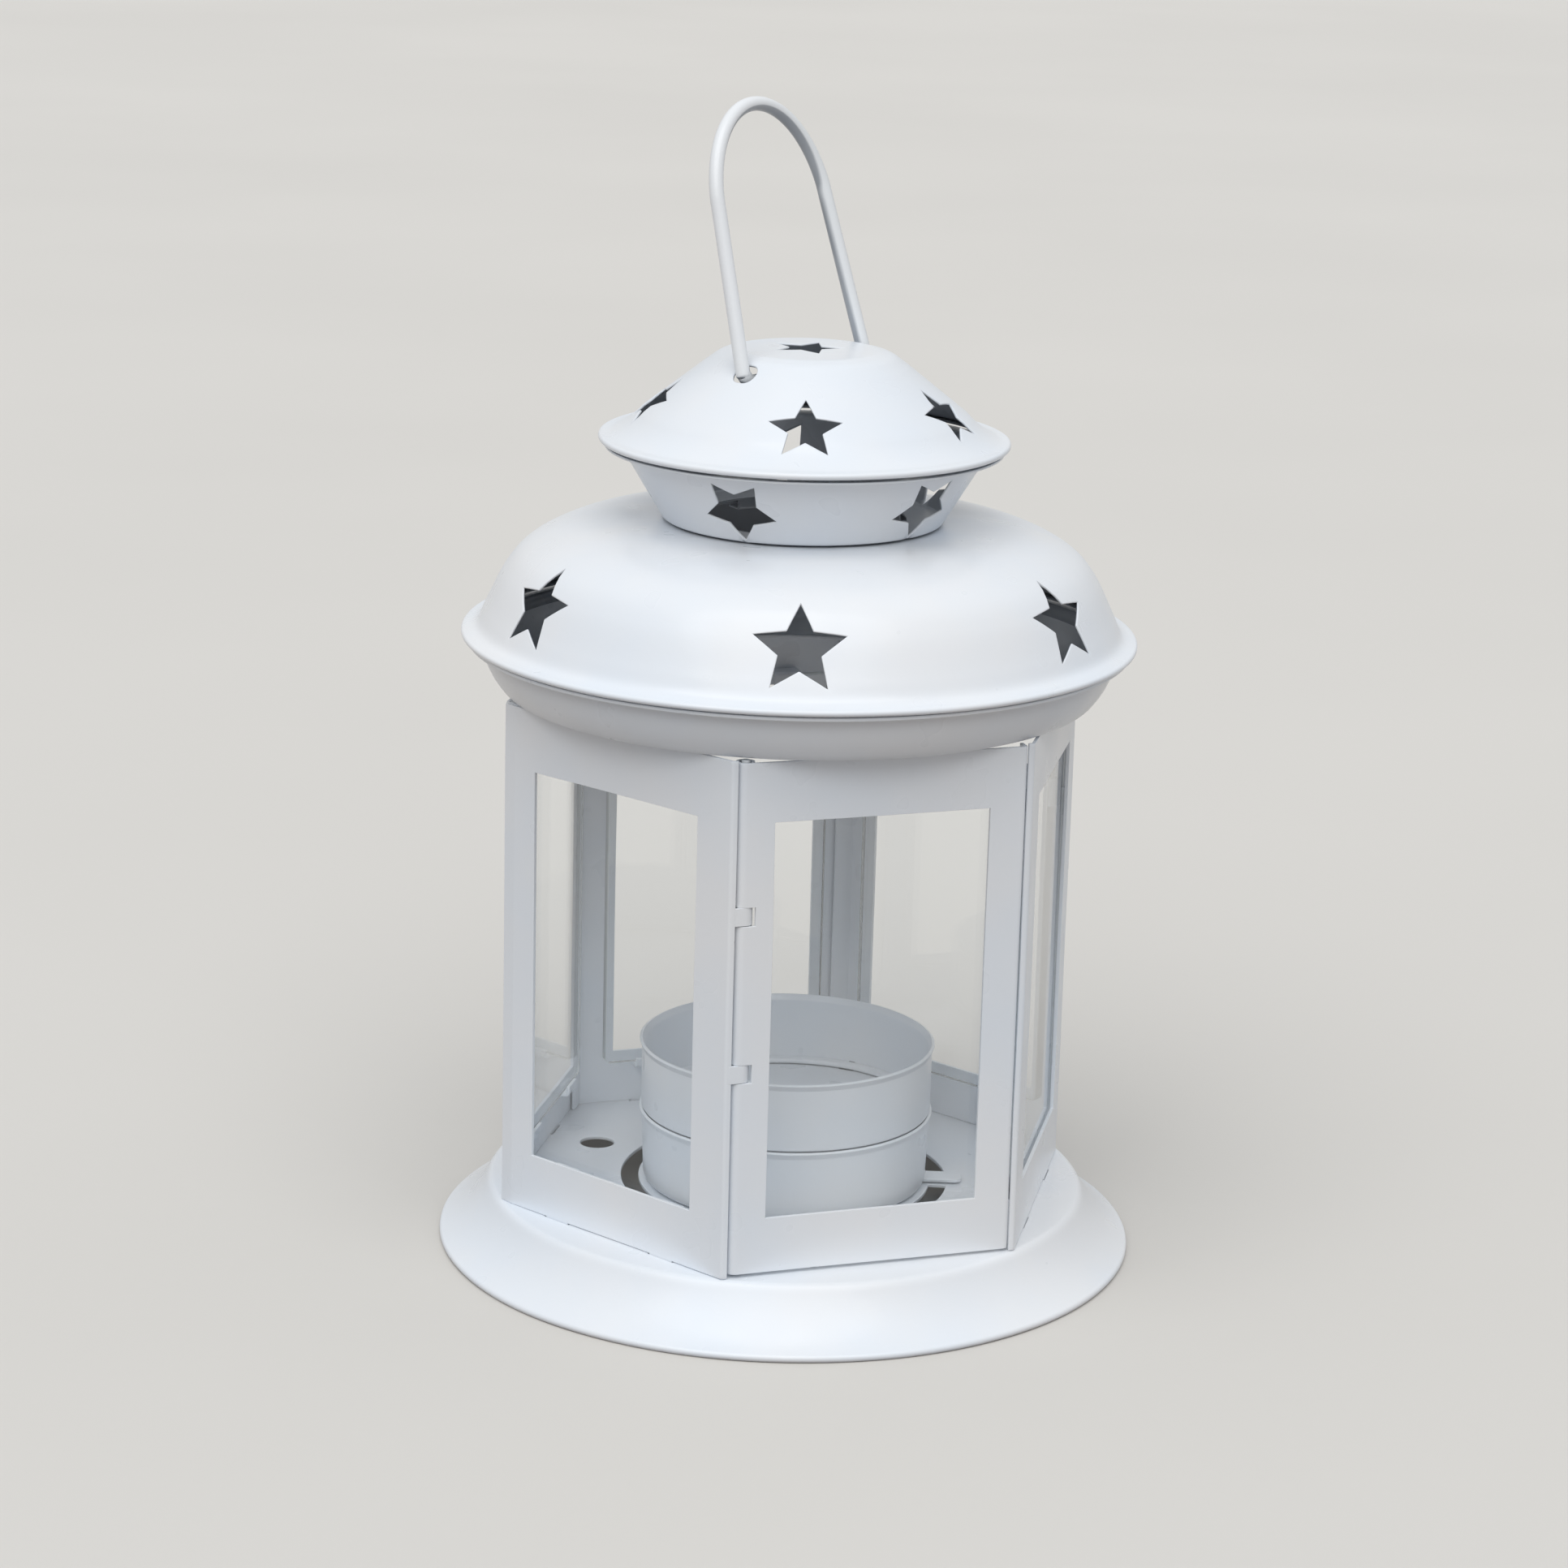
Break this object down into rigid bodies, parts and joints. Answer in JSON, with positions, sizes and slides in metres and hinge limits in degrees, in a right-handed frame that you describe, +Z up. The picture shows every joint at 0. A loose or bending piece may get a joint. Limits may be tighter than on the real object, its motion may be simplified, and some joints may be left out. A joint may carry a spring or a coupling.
{
  "type": "candle lantern",
  "caption": "Hexagonal sheet-iron candle lantern with glass sides, a hinged door, star cut-outs, a loose candle cup and a wire bail.",
  "frame": {"origin": "centre of the base on the surface it stands on", "axes": "+Z up through the chimney cap, -Y towards the front, where the picture was taken; the door faces 18.7 degrees to the right of the front"},
  "size_m": [0.12, 0.12, 0.1959],
  "materials": {
    "white_enamel": "semi-gloss white coat on sheet iron",
    "enamelled_wire": "semi-gloss white coat on drawn wire",
    "clear_glass": "clear float glass with ground edges"
  },
  "bodies": {
    "lantern_body": {"base_pan": "white_enamel", "candle_holder": "white_enamel", "side_panel_right": "white_enamel", "side_panel_rear_right": "white_enamel", "side_panel_rear": "white_enamel", "side_panel_rear_left": "white_enamel", "side_panel_left": "white_enamel", "hinge_pin": "enamelled_wire", "roof_tray": "white_enamel", "lower_roof": "white_enamel", "chimney_neck": "white_enamel", "chimney_cap": "white_enamel", "glass_pane_right": "clear_glass", "glass_pane_rear_right": "clear_glass", "glass_pane_rear": "clear_glass", "glass_pane_rear_left": "clear_glass", "glass_pane_left": "clear_glass"},
    "door": {"door_panel": "white_enamel", "door_glass": "clear_glass"},
    "bail": {"bail_handle": "enamelled_wire"},
    "loose_cup": {"candle_cup": "white_enamel"}
  },
  "joints": [
    {"name": "door_swing", "type": "hinge", "parent": "lantern_body", "child": "door", "pos_m": [-0.00799, -0.04783, 0.054], "axis": [0, 0, -1], "range_deg": [0, 90]},
    {"name": "bail_swing", "type": "hinge", "parent": "lantern_body", "child": "bail", "pos_m": [0, 0, 0.1516], "axis": [0.599, 0.8007, 0], "range_deg": [0, 31.9]},
    {"name": "cup_lift", "type": "slide", "parent": "lantern_body", "child": "loose_cup", "axis": [0, 0, 1], "range_m": [0, 0.04]}
  ]
}
